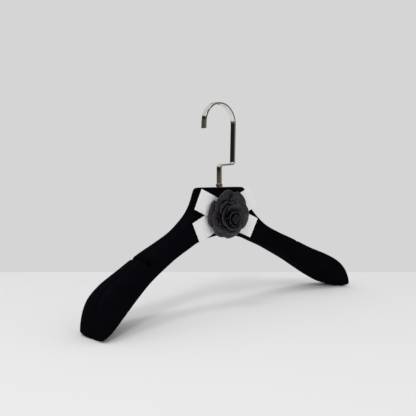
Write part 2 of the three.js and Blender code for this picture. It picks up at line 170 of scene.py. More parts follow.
# A dark surround rings the stage, as in a room whose only light falls on the table, and stands
# tallest behind the camera. It is seen only in gloss: brown and near-black towards the left,
# warmer towards the front. Its sizes are in metres.
SURROUND = {"radius": 1.2, "foot": 0.001, "top": 0.62, "tall": 2.2, "sides": 64}
SURROUND_RISE = (0.15, 0.6)  # how directly behind the camera it starts to rise and is tallest
FRONT_SIDE = (0.698, -0.716, 0)
ring_foot, ring_head = [], []
for i in range(SURROUND["sides"]):
    around = 2 * math.pi * i / SURROUND["sides"]
    x, y = math.cos(around), math.sin(around)
    towards_camera = -(x * camera_line.x + y * camera_line.y)
    tall = min(1, max(0, (towards_camera - SURROUND_RISE[0]) / (SURROUND_RISE[1] - SURROUND_RISE[0])))
    ring_foot.append((SURROUND["radius"] * x, SURROUND["radius"] * y, floor_level + SURROUND["foot"]))
    ring_head.append((SURROUND["radius"] * x, SURROUND["radius"] * y,
                      SURROUND["top"] + (SURROUND["tall"] - SURROUND["top"]) * tall))
ring_faces = []
for i in range(SURROUND["sides"]):
    j = (i + 1) % SURROUND["sides"]
    ring_faces.append((i, j, SURROUND["sides"] + j, SURROUND["sides"] + i))
surround_mesh = bpy.data.meshes.new("dark_surround")
surround_mesh.from_pydata(ring_foot + ring_head, [], ring_faces)
surround = bpy.data.objects.new("dark_surround", surround_mesh)
scene.collection.objects.link(surround)
drape = bpy.data.materials.new("surround_drape")
drape.use_nodes = True
tree = drape.node_tree
tree.nodes.remove(tree.nodes["Principled BSDF"])
coords = add_node(tree, "ShaderNodeTexCoord").outputs["Object"]
height = add_node(tree, "ShaderNodeMapRange", {
    "Value": add_node(tree, "ShaderNodeSeparateXYZ", {"Vector": coords}).outputs["Z"],
    "From Min": -0.25, "From Max": 0.75})
left_zone = ramp(tree, height.outputs["Result"], [
    (0.1, (0.105, 0.08, 0.066)), (0.2, (0.085, 0.066, 0.052)), (0.245, (0.012, 0.013, 0.012)),
    (0.36, (0.016, 0.016, 0.015)), (0.39, (0.085, 0.077, 0.057)), (0.57, (0.1, 0.09, 0.066)),
    (0.6, (0.02, 0.03, 0.018)), (0.88, (0.014, 0.02, 0.013))])
front_zone = ramp(tree, height.outputs["Result"], [
    (0.1, (0.27, 0.225, 0.185)), (0.34, (0.23, 0.195, 0.165)), (0.37, (0.1, 0.1, 0.085)),
    (0.8, (0.08, 0.08, 0.07)), (1.0, (0.03, 0.03, 0.03))])
bearing = add_node(tree, "ShaderNodeVectorMath", {
    0: coords, 1: FRONT_SIDE}, operation="DOT_PRODUCT")
turn = add_node(tree, "ShaderNodeMapRange", {
    "Value": bearing.outputs["Value"], "From Min": -0.7, "From Max": 0.5})
zone = add_node(tree, "ShaderNodeMixRGB", {
    "Fac": turn.outputs["Result"], "Color1": left_zone, "Color2": front_zone})
glow = add_node(tree, "ShaderNodeEmission", {"Color": zone.outputs["Color"]})
tree.links.new(glow.outputs["Emission"], tree.nodes["Material Output"].inputs["Surface"])
surround_mesh.materials.append(drape)
for ray in ("camera", "diffuse", "shadow", "transmission", "volume_scatter"):
    setattr(surround, "visible_" + ray, False)


# ==== Shells =================================================================================
# Two moulded plastic halves meet along a curved seam, hollow inside, with a socket for the
# hook's bush at the neck and a J-shaped strap notch in each shoulder. Both are flocked black
# all over: a short dense nap that softens every edge and drinks the light.

PLATEAU_Z = -99.5  # flat top, below the rail
BODY_HEIGHT = 141
HALF_LENGTH = 204.5
SWEEP_SPAN = 200
FLAT_TRIM = 0.4
WALL = 2.2
SEAM_GAP = 0.3
BUSH_RADIUS = 4.3
BUSH_LENGTH = 17
NOTCH = {"x": 127, "depth": 11.2, "inner": 2, "outer": 4.6}
CUT_FRONT, CUT_BACK = -90, 40  # how far through the arm the cutting tools reach
BOSS_HALF = 9  # half the width of the block that holds the bush
NAP_VOXEL = 0.95  # fineness of the finished surface

# Heights are below the flat top; the first number is the distance from the stem's axis.
TOP_EDGE = [
    (0, 0.5), (30, 0.2), (36.4, -0.4), (38, -2.6), (39.4, -6.4), (41.6, -12.4), (45.5, -20.6),
    (51.5, -29.3), (60, -37.6), (75, -49), (95, -58.6), (121, -68.9), (151, -82.9), (176, -93.4),
    (189, -101), (196.5, -109.3), (201.3, -119.6), (203.8, -129.6), (HALF_LENGTH, -135)]
BOTTOM_EDGE = [
    (0, -57.8), (20, -59.5), (42, -64.2), (60, -71), (80, -78.8), (101, -89), (126, -102.2),
    (151, -117), (171, -129), (184, -136), (192, -139), (198, -140.7), (201, -BODY_HEIGHT),
    (203.6, -140.4), (HALF_LENGTH, -138.4)]


def along(points, x):
    """Height at x on the monotone cubic through the points."""
    i = 0
    while i < len(points) - 2 and x > points[i + 1][0]:
        i += 1

    def slope(k):
        return (points[k + 1][1] - points[k][1]) / (points[k + 1][0] - points[k][0])

    def tangent(k):
        if k == 0:
            return 0
        if k == len(points) - 1:
            return slope(k - 1)
        a, b = slope(k - 1), slope(k)
        return 0 if a * b <= 0 else 2 * a * b / (a + b)

    (x0, y0), (x1, y1) = points[i], points[i + 1]
    h = x1 - x0
    t = min(1, max(0, (x - x0) / h))
    return ((2 * t**3 - 3 * t**2 + 1) * y0 + (t**3 - 2 * t**2 + t) * h * tangent(i)
            + (3 * t**2 - 2 * t**3) * y1 + (t**3 - t**2) * h * tangent(i + 1))


def centre_y(x):
    """The arms sweep forward: the seam's depth at x."""
    u = x / SWEEP_SPAN
    return -14.3 * u**2 - 16.2 * u**4


def half_thickness(x):
    """The arms thicken towards the shoulders and round off at their ends."""
    u = abs(x) / SWEEP_SPAN
    rounding = math.sqrt(max(0, 1 - max(0, (abs(x) - 187.5) / 28) ** 2.2))
    return (7 + 35 * u**2 - 16.8 * u**4) * rounding


def front_y(x):
    return centre_y(x) - half_thickness(x)


def smooth_step(x, low, high):
    t = min(1, max(0, (x - low) / (high - low)))
    return t * t * (3 - 2 * t)


def section(x, inset, sides):
    """Outline across the arm: a superellipse, square-edged at the neck, rounder outwards."""
    distance = abs(x)
    top = along(TOP_EDGE, distance) + PLATEAU_Z - inset
    bottom = along(BOTTOM_EDGE, distance) + PLATEAU_Z + inset
    half = max(0.2, (top - bottom) / 2)
    thick = max(0.2, half_thickness(x) - inset)
    power = 2 / (7 - 4 * smooth_step(distance, 35, 130))
    foot = PLATEAU_Z - BODY_HEIGHT + FLAT_TRIM
    ring = []
    for i in range(sides):
        angle = 2 * math.pi * (i + 0.5) / sides
        c, s = math.cos(angle), math.sin(angle)
        y = centre_y(x) + thick * math.copysign(abs(c) ** power, c)
        z = (top + bottom) / 2 + half * math.copysign(abs(s) ** power, s)
        ring.append((x, y, min(PLATEAU_Z, max(foot, z))))
    return ring


def new_piece(name, points, faces):
    """An object whose mesh is given in millimetres, at its place on the hanger."""
    mesh = bpy.data.meshes.new(name)
    mesh.from_pydata([tuple(c * MM for c in p) for p in points], [], faces)
    mesh.update()
    mesh.shade_smooth()
    piece = bpy.data.objects.new(name, mesh)
    scene.collection.objects.link(piece)
    return piece


def loft(name, rings, closed=False):
    """A skin over rings of equally many points, with flat ends or joined into a loop."""
    count = len(rings[0])
    points = [p for ring in rings for p in ring]
    faces = []
    for r in range(len(rings) if closed else len(rings) - 1):
        here, there = r * count, ((r + 1) % len(rings)) * count
        for i in range(count):
            j = (i + 1) % count
            faces.append((here + i, here + j, there + j, there + i))
    if not closed:
        end = (len(rings) - 1) * count
        faces += [tuple(reversed(range(count))), tuple(range(end, end + count))]
    return new_piece(name, points, faces)


def applied(piece):
    """Keeps what the piece's modifiers make as its plain mesh."""
    evaluated = piece.evaluated_get(bpy.context.evaluated_depsgraph_get())
    mesh = bpy.data.meshes.new_from_object(evaluated)
    piece.modifiers.clear()
    piece.data = mesh
    return piece


def carve(piece, tool, operation="DIFFERENCE"):
    """Cuts the tool out of the piece, joins it on or keeps what they share; the tool is used up."""
    cut = piece.modifiers.new("carve", "BOOLEAN")
    cut.operation = operation
    cut.solver = "MANIFOLD"
    cut.object = tool
    applied(piece)
    bpy.data.objects.remove(tool)
    return piece


def body_loft(name, inset, spacing, sides):
    """The body's skin, moved in by inset, with sections about one spacing apart along its edge."""
    reach = HALF_LENGTH - 3.5 * inset
    stations, travelled, x = [0.0], 0.0, 0.0
    while x < reach:
        step_x = 0.1
        step_z = abs(along(TOP_EDGE, x + step_x) - along(TOP_EDGE, x))
        travelled += math.hypot(step_x, step_z)
        x += step_x
        if travelled > spacing:
            stations.append(x)
            travelled = 0.0
    stations.append(reach)
    xs = [-x for x in reversed(stations[1:])] + stations
    return loft(name, [section(x, inset, sides) for x in xs])


def block(name, x0, x1, y0, y1, z0, z1):
    ring = [(x0, y0), (x1, y0), (x1, y1), (x0, y1)]
    return loft(name, [[(x, y, z) for x, y in ring] for z in (z0, z1)])


def prism_along_y(name, outline, front, back):
    """A shape drawn in X and Z, clockwise seen from the front, from one depth to another."""
    return loft(name, [[(x, y, z) for x, z in outline] for y in (front, back)])


def notch_cutter(side):
    """A J down through the arm, with a rounded nose on the hook's side."""
    x, depth, inner, wide = (NOTCH[key] for key in ("x", "depth", "inner", "outer"))
    mouth = along(TOP_EDGE, x) + PLATEAU_Z
    outline = [
        (x + wide + 3.5, mouth + 7), (x + wide + 1, mouth - 1.8), (x + wide, mouth - 4),
        (x + wide, mouth - depth + 3.2), (x + wide - 1.2, mouth - depth + 0.8),
        (x + wide - 3.4, mouth - depth), (x - inner, mouth - depth + 1.4),
        (x - inner - 0.4, mouth - depth + 3.2), (x - inner + 1.2, mouth - 4.6),
        (x - inner + 0.6, mouth - 1.6), (x - inner - 1.6, mouth + 0.8), (x - inner - 4, mouth + 7)]
    facing = [(side * px, pz) for px, pz in outline]
    return prism_along_y("notch_cutter", facing if side > 0 else facing[::-1], CUT_FRONT, CUT_BACK)


def notch_floor(side):
    """The plastic left round a notch inside the hollow."""
    x, depth, inner, wide = (NOTCH[key] for key in ("x", "depth", "inner", "outer"))
    ends = sorted((side * (x - inner - WALL), side * (x + wide + WALL)))
    mouth = along(TOP_EDGE, x) + PLATEAU_Z
    return block("notch_floor", *ends, CUT_FRONT, CUT_BACK, mouth - depth - WALL, mouth + 8)


def front_region(offset):
    """Everything in front of the seam, moved back by offset."""
    steps, reach, front, foot, head = 120, 230, -160, -280, 20
    line = [-reach + 2 * reach * i / steps for i in range(steps + 1)]
    rings = [[(x, front, z) for z in (foot, head)]
             + [(x, centre_y(x) + offset, z) for z in (head, foot)] for x in line]
    return loft("front_region", [ring[::-1] for ring in rings])


def rod(name, radius, bottom, top, sides=48):
    """A round bar on the stem's axis."""
    turns = [2 * math.pi * i / sides for i in range(sides)]
    return loft(name, [[(radius * math.cos(a), radius * math.sin(a), z) for a in turns]
                       for z in (bottom, top)])


socket_foot = PLATEAU_Z - BUSH_LENGTH - 1
hollow = body_loft("hollow", WALL, 4, 48)
carve(hollow, block("bush_boss", -BOSS_HALF, BOSS_HALF, -20, 20, socket_foot, PLATEAU_Z + 5))
body = body_loft("flocked_body", 0, 1.6, 112)
for side in (-1, 1):
    carve(hollow, notch_floor(side))
    carve(body, notch_cutter(side))
carve(body, hollow)
carve(body, rod("bush_hole", BUSH_RADIUS + SEAM_GAP, socket_foot - 2, PLATEAU_Z + 6))

flock, tree, shader = new_finish("black_flock", {
    "Roughness": 1.0, "Specular IOR Level": 0.0, "Sheen Weight": 0.02, "Sheen Roughness": 0.35,
    "Sheen Tint": (0.62, 0.5, 0.78, 1)})
coords = add_node(tree, "ShaderNodeTexCoord").outputs["Object"]
nap = add_node(tree, "ShaderNodeTexNoise", {"Vector": coords, "Scale": 1900.0, "Detail": 2.0})
strokes = add_node(tree, "ShaderNodeMapping", {"Vector": coords, "Scale": (18.0, 40.0, 60.0)})
brushed = add_node(tree, "ShaderNodeTexNoise", {
    "Vector": strokes.outputs["Vector"], "Scale": 1.6, "Detail": 4.0, "Distortion": 0.6})
mixed = add_node(tree, "ShaderNodeMath", {0: nap.outputs["Fac"], 1: 0.45}, operation="MULTIPLY")
blend = add_node(tree, "ShaderNodeMath", {
    0: brushed.outputs["Fac"], 1: 0.55, 2: mixed.outputs["Value"]}, operation="MULTIPLY_ADD")
flock_colour = ramp(tree, blend.outputs["Value"], [
    (0.3, (0.0021, 0.0020, 0.0030)), (0.55, (0.0031, 0.0030, 0.0044)), (0.75, (0.0048, 0.0044, 0.0065))])
tree.links.new(flock_colour, shader.inputs["Base Color"])
bump = add_node(tree, "ShaderNodeBump", {
    "Height": nap.outputs["Fac"], "Strength": 0.6, "Distance": 0.0003})
tree.links.new(bump.outputs["Normal"], shader.inputs["Normal"])

for name, node, operation, offset in (
        ("flocked_front_shell", "front_shell", "INTERSECT", -SEAM_GAP / 2),
        ("flocked_back_shell", "back_shell", "DIFFERENCE", SEAM_GAP / 2)):
    shell = bpy.data.objects.new(name, body.data.copy())
    scene.collection.objects.link(shell)
    carve(shell, front_region(offset), operation)
    skin = shell.modifiers.new("nap_skin", "REMESH")
    skin.mode = "VOXEL"
    skin.voxel_size = NAP_VOXEL * MM
    skin.use_smooth_shade = True
    soften = shell.modifiers.new("soften", "SMOOTH")
    soften.factor = 0.5
    soften.iterations = 3
    applied(shell)
    shell.data.materials.clear()
    shell.data.materials.append(flock)
    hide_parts(node)
    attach(shell, "shoulders")
bpy.data.objects.remove(body)


# ==== Hook ===================================================================================
# One flat steel bar, bent out sideways above the neck, up, and over in a half circle, with its
# corners broken, then polished and plated in dark nickel. Its foot is turned to a round shank.

BAR_WIDTH = 7
BAR_THICKNESS = 2.2
BAR_EDGE = 0.3  # radius of the bar's broken corners
CROWN_RADIUS = 24.4
CROWN_Z = BAR_THICKNESS / 2
JOG_LOW_Z = -73.2  # where the bar leaves the stem's axis
JOG_HIGH_Z = -71.6  # where it turns up again
JOG_LEAN = 1.2  # how far the upright leans in at the jog
JOG_RADIUS = 3.4
TIP_DROP = 6.6  # straight end of the hook below its half circle
TIP_FLARE = 1.3
SHANK_RADIUS = 2.5
BAR_FOOT_Z = -95.2
SHANK_END_Z = -129.5


def new_tree(name, sizes):
    """A Geometry Nodes tree with named sizes; returns the tree, its inputs and its output node."""
    tree = bpy.data.node_groups.new(name, "GeometryNodeTree")
    tree.interface.new_socket("Geometry", in_out="INPUT", socket_type="NodeSocketGeometry")
    for label, value in sizes.items():
        kind = "NodeSocketInt" if isinstance(value, int) else "NodeSocketFloat"
        tree.interface.new_socket(label, in_out="INPUT", socket_type=kind).default_value = value
    tree.interface.new_socket("Geometry", in_out="OUTPUT", socket_type="NodeSocketGeometry")
    return tree, tree.nodes.new("NodeGroupInput").outputs, tree.nodes.new("NodeGroupOutput")


def finish_tree(tree, geometry, material, output):
    """Ends a tree as every tree here ends: smooth, all real mesh, one material."""
    smooth = add_node(tree, "GeometryNodeSetShadeSmooth", {"Geometry": geometry})
    real = add_node(tree, "GeometryNodeRealizeInstances", {"Geometry": smooth.outputs["Geometry"]})
    painted = add_node(tree, "GeometryNodeSetMaterial", {
        "Geometry": real.outputs["Geometry"], "Material": material})
    tree.links.new(painted.outputs["Geometry"], output.inputs["Geometry"])


def grown(name, tree, sizes, start=None):
    """Runs a tree with its sizes set and keeps the result as a plain mesh."""
    piece = bpy.data.objects.new(name, start or bpy.data.meshes.new(name))
    scene.collection.objects.link(piece)
    grow = piece.modifiers.new("grow", "NODES")
    grow.node_group = tree
    for item in tree.interface.items_tree:
        if item.in_out == "INPUT" and item.name in sizes:
            grow[item.identifier] = sizes[item.name]
    return applied(piece)


nickel, tree, shader = new_finish("dark_nickel", {
    "Metallic": 1.0, "Roughness": 0.06, "Base Color": (0.76, 0.745, 0.72, 1)})
coords = add_node(tree, "ShaderNodeTexCoord").outputs["Object"]
smears = add_node(tree, "ShaderNodeTexNoise", {"Vector": coords, "Scale": 160.0, "Detail": 5.0})
gloss = add_node(tree, "ShaderNodeMapRange", {
    "Value": smears.outputs["Fac"], "From Min": 0.3, "From Max": 0.7, "To Min": 0.03, "To Max": 0.08})
tree.links.new(gloss.outputs["Result"], shader.inputs["Roughness"])
tone = ramp(tree, smears.outputs["Fac"], [(0.35, (0.73, 0.715, 0.69)), (0.65, (0.79, 0.78, 0.76))])
tree.links.new(tone, shader.inputs["Base Color"])
ripple = add_node(tree, "ShaderNodeTexNoise", {"Vector": coords, "Scale": 55.0, "Detail": 1.0})
bump = add_node(tree, "ShaderNodeBump", {
    "Height": ripple.outputs["Fac"], "Strength": 0.06, "Distance": 0.0003})
tree.links.new(bump.outputs["Normal"], shader.inputs["Normal"])

bar_tree, sizes, output = new_tree("bent_flat_bar", {
    "Bar width": BAR_WIDTH * MM, "Bar thickness": BAR_THICKNESS * MM, "Corner radius": BAR_EDGE * MM})
radius = add_node(bar_tree, "GeometryNodeInputNamedAttribute", {"Name": "bend_radius"}, data_type="FLOAT")
steps = add_node(bar_tree, "GeometryNodeInputNamedAttribute", {"Name": "bend_steps"}, data_type="INT")
line = add_node(bar_tree, "GeometryNodeMeshToCurve", {"Mesh": sizes["Geometry"]})
bent = add_node(bar_tree, "GeometryNodeFilletCurve", {
    "Curve": line.outputs["Curve"], "Radius": radius.outputs["Attribute"],
    "Count": steps.outputs["Attribute"], "Limit Radius": True}, mode="POLY")
level = add_node(bar_tree, "GeometryNodeSetCurveNormal", {
    "Curve": bent.outputs["Curve"], "Normal": (0, 1, 0)}, mode="FREE")
flat = add_node(bar_tree, "GeometryNodeCurvePrimitiveQuadrilateral", {
    "Width": sizes["Bar width"], "Height": sizes["Bar thickness"]}, mode="RECTANGLE")
broken = add_node(bar_tree, "GeometryNodeFilletCurve", {
    "Curve": flat.outputs["Curve"], "Radius": sizes["Corner radius"], "Count": 4}, mode="POLY")
swept = add_node(bar_tree, "GeometryNodeCurveToMesh", {
    "Curve": level.outputs["Curve"], "Profile Curve": broken.outputs["Curve"], "Fill Caps": True})
finish_tree(bar_tree, swept.outputs["Mesh"], nickel, output)

# Corners of the bar's centreline in X and Z, each with its bend radius and number of facets.
BAR_CORNERS = [
    (0, BAR_FOOT_Z, 0, 0), (0, JOG_LOW_Z, JOG_RADIUS, 10),
    (CROWN_RADIUS - JOG_LEAN, JOG_HIGH_Z, JOG_RADIUS, 10),
    (CROWN_RADIUS, CROWN_Z - CROWN_RADIUS - 0.5, 0, 0), (CROWN_RADIUS, CROWN_Z, CROWN_RADIUS, 48),
    (-CROWN_RADIUS, CROWN_Z, CROWN_RADIUS, 48),
    (-CROWN_RADIUS - TIP_FLARE, CROWN_Z - CROWN_RADIUS - TIP_DROP, 0, 0)]
bar_line = bpy.data.meshes.new("bar_line")
bar_line.from_pydata([(x * MM, 0, z * MM) for x, z, _, _ in BAR_CORNERS],
                     [(i, i + 1) for i in range(len(BAR_CORNERS) - 1)], [])
bar_line.attributes.new("bend_radius", "FLOAT", "POINT").data.foreach_set(
    "value", [r * MM for _, _, r, _ in BAR_CORNERS])
bar_line.attributes.new("bend_steps", "INT", "POINT").data.foreach_set(
    "value", [n for _, _, _, n in BAR_CORNERS])
hook = grown("bent_hook_bar", bar_tree, {}, bar_line)


def turned(name, profile, sides=64):
    """A piece turned on a lathe about the stem's axis: (radius, height) pairs, from the axis out."""
    points, rows = [], []
    for r, z in profile:
        if r == 0:
            rows.append([len(points)] * sides)
            points.append((0, 0, z))
        else:
            rows.append(list(range(len(points), len(points) + sides)))
            points += [(r * math.cos(2 * math.pi * i / sides), r * math.sin(2 * math.pi * i / sides), z)
                       for i in range(sides)]
    if profile[0][0] != 0:
        rows.append(rows[0])
    faces = []
    for low, high in zip(rows, rows[1:]):
        for i in range(sides):
            j = (i + 1) % sides
            corners = []
            for corner in (low[i], low[j], high[j], high[i]):
                if corner not in corners:
                    corners.append(corner)
            faces.append(tuple(corners))
    return new_piece(name, points, faces)


carve(hook, turned("shank", [
    (0, SHANK_END_Z), (SHANK_RADIUS - 0.5, SHANK_END_Z), (SHANK_RADIUS, SHANK_END_Z + 0.5),
    (SHANK_RADIUS, BAR_FOOT_Z + 0.2), (0, BAR_FOOT_Z + 0.2)]), "UNION")
hook.data.set_sharp_from_angle(angle=math.radians(38))
hook.data.materials.clear()
hook.data.materials.append(nickel)
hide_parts("hook")
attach(hook, "hook_assembly")


# ==== Swivel =================================================================================
# A plated collar sits on the neck round the shank. Below it, inside the shells, the shank turns
# in a brass bush, and a nylon washer and a zinc-plated nut hold it from underneath.

collar_low, collar_high = (corner.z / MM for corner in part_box("hook_collar"))
collar_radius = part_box("hook_collar")[1].x / MM
SHANK_CLEARANCE = 0.08  # running fit
bore = SHANK_RADIUS + SHANK_CLEARANCE
copper, tree, shader = new_finish("warm_plating", {
    "Metallic": 1.0, "Roughness": 0.2, "Base Color": (0.36, 0.27, 0.23, 1)})
coords = add_node(tree, "ShaderNodeTexCoord").outputs["Object"]
turning = add_node(tree, "ShaderNodeMapping", {"Vector": coords, "Scale": (40.0, 40.0, 2600.0)})
marks = add_node(tree, "ShaderNodeTexNoise", {"Vector": turning.outputs["Vector"], "Scale": 1.0})
tone = ramp(tree, marks.outputs["Fac"], [(0.35, (0.3, 0.215, 0.185)), (0.65, (0.44, 0.34, 0.3))])
tree.links.new(tone, shader.inputs["Base Color"])
bump = add_node(tree, "ShaderNodeBump", {
    "Height": marks.outputs["Fac"], "Strength": 0.25, "Distance": 0.0001})
tree.links.new(bump.outputs["Normal"], shader.inputs["Normal"])
collar = turned("shank_collar", [
    (bore, collar_low), (collar_radius - 0.25, collar_low), (collar_radius, collar_low + 0.25),
    (collar_radius, collar_low + 1.5), (collar_radius - 0.35, collar_low + 1.75),
    (collar_radius - 0.35, collar_low + 2.05), (collar_radius, collar_low + 2.3),
    (collar_radius, collar_high - 0.9), (collar_radius - 0.25, collar_high - 0.4),
    (collar_radius - 0.7, collar_high - 0.12), (collar_radius - 1, collar_high), (bore, collar_high)])
collar.data.set_sharp_from_angle(angle=math.radians(40))
collar.data.materials.append(copper)
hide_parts("hook_collar")
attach(collar, "shoulders")


def machined_finish(name, colour, metallic, roughness, pitch):
    """A finish with fine rings from turning or moulding; pitch is how many there are to a metre."""
    material, tree, shader = new_finish(name, {"Metallic": metallic, "Roughness": roughness})
    coords = add_node(tree, "ShaderNodeTexCoord").outputs["Object"]
    turning = add_node(tree, "ShaderNodeMapping", {"Vector": coords, "Scale": (60.0, 60.0, pitch)})
    marks = add_node(tree, "ShaderNodeTexNoise", {"Vector": turning.outputs["Vector"], "Scale": 1.0})
    darker = tuple(c * 0.8 for c in colour)
    tree.links.new(ramp(tree, marks.outputs["Fac"], [(0.35, darker), (0.65, colour)]),
                   shader.inputs["Base Color"])
    bump = add_node(tree, "ShaderNodeBump", {
        "Height": marks.outputs["Fac"], "Strength": 0.3, "Distance": 0.0001})
    tree.links.new(bump.outputs["Normal"], shader.inputs["Normal"])
    return material


def repaint(node, material):
    """Gives a CAD node that stays in view its finished material."""
    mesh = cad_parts[node].data
    mesh.materials.clear()
    mesh.materials.append(material)


repaint("swivel_bush", machined_finish("turned_brass", (0.69, 0.55, 0.29), 1.0, 0.35, 3000))
repaint("thrust_washer", machined_finish("moulded_nylon", (0.85, 0.84, 0.8), 0.0, 0.5, 900))
repaint("shank_nut", machined_finish("zinc_plate", (0.6, 0.6, 0.61), 1.0, 0.3, 1400))


# ==== Bow ====================================================================================
# Two lengths of white ribbon, 26 mm wide, each folded flat into a loop with its ends tucked
# under the rosette, laid crossed and stuck down with hot glue. Woven with fine cross ribs and a
# firm selvedge along both edges; the pressed folds stay a little open.

RIBBON_WIDTH = 26
RIBBON_LENGTH = 106
RIBBON_WEIGHT = 0.34  # thickness of one layer
RIBBON_STEPS = 90
RIBBON_COLUMNS = 26
RIBBON_FOLD = 0.42  # radius of the pressed fold
RIBBON_STACK = 1.2  # both layers and the air between
RIBBON_TILT = 22  # degrees from level
PINCHED = 16  # how far from the middle the two layers are held together
BOW_Z = PLATEAU_Z - 32
BOW_GAP = 0.3
GLUE_THICKNESS = 0.8
lower_depth = BOW_GAP + GLUE_THICKNESS + BOW_GAP
upper_depth = lower_depth + RIBBON_STACK + BOW_GAP

ribbon_white, tree, shader = new_finish("ribbon_weave", {
    "Roughness": 0.62, "Specular IOR Level": 0.35, "Sheen Weight": 0.12, "Sheen Roughness": 0.4})
strip = add_node(tree, "ShaderNodeUVMap", uv_map="strip").outputs["UV"]
ribs = add_node(tree, "ShaderNodeTexWave", {
    "Vector": strip, "Scale": 0.32, "Distortion": 0.5, "Detail": 1.0}, bands_direction="X")
threads = add_node(tree, "ShaderNodeTexWave", {
    "Vector": strip, "Scale": 0.5, "Distortion": 0.3, "Detail": 1.0}, bands_direction="Y")
weave = add_node(tree, "ShaderNodeMath", {0: ribs.outputs["Fac"], 1: 0.7}, operation="MULTIPLY")
weave_sum = add_node(tree, "ShaderNodeMath", {
    0: threads.outputs["Fac"], 1: 0.3, 2: weave.outputs["Value"]}, operation="MULTIPLY_ADD")
slubs = add_node(tree, "ShaderNodeTexNoise", {"Vector": strip, "Scale": 0.6, "Detail": 3.0})
shade = add_node(tree, "ShaderNodeMath", {
    0: slubs.outputs["Fac"], 1: 0.25, 2: weave_sum.outputs["Value"]}, operation="MULTIPLY_ADD")
cloth_colour = ramp(tree, shade.outputs["Value"], [
    (0.15, (0.84, 0.845, 0.85)), (0.6, (0.92, 0.92, 0.915)), (1.0, (0.95, 0.95, 0.94))])
tree.links.new(cloth_colour, shader.inputs["Base Color"])
bump = add_node(tree, "ShaderNodeBump", {
    "Height": weave_sum.outputs["Value"], "Strength": 0.35, "Distance": 0.00015})
tree.links.new(bump.outputs["Normal"], shader.inputs["Normal"])


def ribbon_loop(name, tilt, depth, seed, slants):
    """A flat loop: out along the front layer, round a pressed fold and back behind.

    The slants say how far the upper and lower corner of its left and right fold stand out.
    """
    rng = random.Random(seed)
    waves = [(rng.uniform(0.08, 0.22), rng.uniform(1.2, 2.6), rng.uniform(0, 6.28)) for _ in range(4)]
    angle = math.radians(tilt)
    fold = RIBBON_FOLD
    end = RIBBON_LENGTH / 2 - fold - RIBBON_WEIGHT
    path = []
    for i in range(RIBBON_STEPS + 1):
        path.append((-end + 2 * end * i / RIBBON_STEPS, 1.0))
    turn_steps = 7
    path += [(end + fold * math.sin(math.pi * i / turn_steps), math.cos(math.pi * i / turn_steps))
             for i in range(1, turn_steps)]
    for i in range(RIBBON_STEPS + 1):
        path.append((end - 2 * end * i / RIBBON_STEPS, -1.0))
    path += [(-end - fold * math.sin(math.pi * i / turn_steps), -math.cos(math.pi * i / turn_steps))
             for i in range(1, turn_steps)]
    points, marks, travelled = [], [], 0.0
    for k, (s, side) in enumerate(path):
        free = smooth_step(abs(s), PINCHED, PINCHED + 16) * (1 - smooth_step(abs(s), end - 12, end + 1))
        if k:
            travelled += math.hypot(s - path[k - 1][0], fold * (side - path[k - 1][1]))
        for c in range(RIBBON_COLUMNS + 1):
            across = RIBBON_WIDTH * (c / RIBBON_COLUMNS - 0.5)
            upper, lower = slants[0 if s < 0 else 1]
            slant = (lower + (upper - lower) * c / RIBBON_COLUMNS) * smooth_step(abs(s), 12, end)
            place = s + math.copysign(1, s) * slant
            x = across * -math.sin(angle) + place * math.cos(angle)
            z = BOW_Z + across * math.cos(angle) + place * math.sin(angle)
            lift = sum(a * math.sin(f * s / 12 + g + across / 11) for a, f, g in waves)
            crown = 0.75 * free * (1 + 0.4 * lift) if side > 0 else 0.1 * free
            points.append((x, front_y(x) - depth - 0.6 - side * fold - crown, z))
            marks.append((travelled, across + RIBBON_WIDTH / 2))
    columns = RIBBON_COLUMNS + 1
    rows = len(path)
    faces = []
    for r in range(rows):
        for c in range(RIBBON_COLUMNS):
            here, there = r * columns + c, ((r + 1) % rows) * columns + c
            faces.append((here, there, there + 1, here + 1))
    ribbon = new_piece(name, points, faces)
    layer = ribbon.data.uv_layers.new(name="strip")
    total = travelled + 2 * (end + RIBBON_LENGTH / 2) / rows
    for face in ribbon.data.polygons:
        last_row = face.index // RIBBON_COLUMNS == rows - 1
        for loop_index in face.loop_indices:
            vertex = ribbon.data.loops[loop_index].vertex_index
            u, v = marks[vertex]
            layer.data[loop_index].uv = (total if last_row and vertex < columns else u, v)
    thick = ribbon.modifiers.new("cloth_weight", "SOLIDIFY")
    thick.thickness = RIBBON_WEIGHT * MM
    thick.offset = 0
    thick.use_even_offset = True
    edge = ribbon.modifiers.new("soft_selvedge", "BEVEL")
    edge.width = 0.1 * MM
    edge.segments = 2
    edge.limit_method = "ANGLE"
    edge.angle_limit = math.radians(60)
    applied(ribbon)
    ribbon.data.materials.append(ribbon_white)
    return ribbon


lower = ribbon_loop("lower_ribbon_loop", RIBBON_TILT, lower_depth, 3, ((2.1, -1), (-1.5, 0.5)))
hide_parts("ribbon_lower")
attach(lower, "shoulders")
upper = ribbon_loop("upper_ribbon_loop", -RIBBON_TILT, upper_depth, 8, ((-3.2, 0), (0.7, -2.1)))
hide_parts("ribbon_upper")
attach(upper, "shoulders")

glue = machined_finish("hot_glue", (0.86, 0.84, 0.77), 0.0, 0.3, 120)
repaint("ribbon_glue_pad", glue)
repaint("rosette_glue_pad", glue)


# ==== Rosette ================================================================================
# Fifteen petals die-cut from black grained leather, wetted, cupped and rolled over at the rim,
# glued to a felt disc in three rings, each petal lapping the next, round a bud rolled from one
# strip with two more leaves wrapped about it.

PETAL_FOOT = 7.3  # the petals' base stands this far in front of the shell
ROSETTE = {"x": -2.8, "z": BOW_Z, "y": front_y(0) - PETAL_FOOT}
LEATHER_WEIGHT = 1.1
EDGE_ROUNDING = 0.32
RIM_HIGHLIGHT_FROM = 0.9  # how far out along a petal the painted highlight on its rim starts
